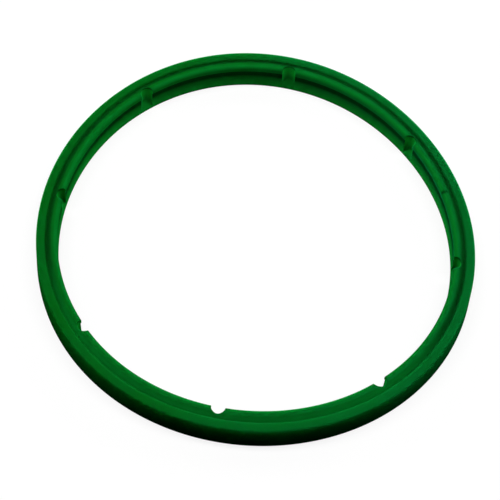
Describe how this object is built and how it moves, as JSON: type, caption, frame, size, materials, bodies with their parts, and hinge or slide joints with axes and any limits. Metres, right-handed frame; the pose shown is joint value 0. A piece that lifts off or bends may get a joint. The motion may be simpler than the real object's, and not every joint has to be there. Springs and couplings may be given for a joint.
{
  "type": "hydraulic wiper seal",
  "caption": "Green polyurethane rod wiper seal: a ring with a notched inner heel bead, a shallow groove, a flat land, a coned outer wall and a scraper lip below.",
  "frame": {"origin": "centre of the ring on the plane that its foot and lip stand on", "axes": "+Z along the ring's axis, from the lip side up to the notched heel side; +X through the middle of one notch"},
  "size_m": [0.1114, 0.1114, 0.0077],
  "materials": {
    "green_polyurethane": "satin"
  },
  "bodies": {
    "root": {"wiper_ring": "green_polyurethane"}
  },
  "joints": []
}
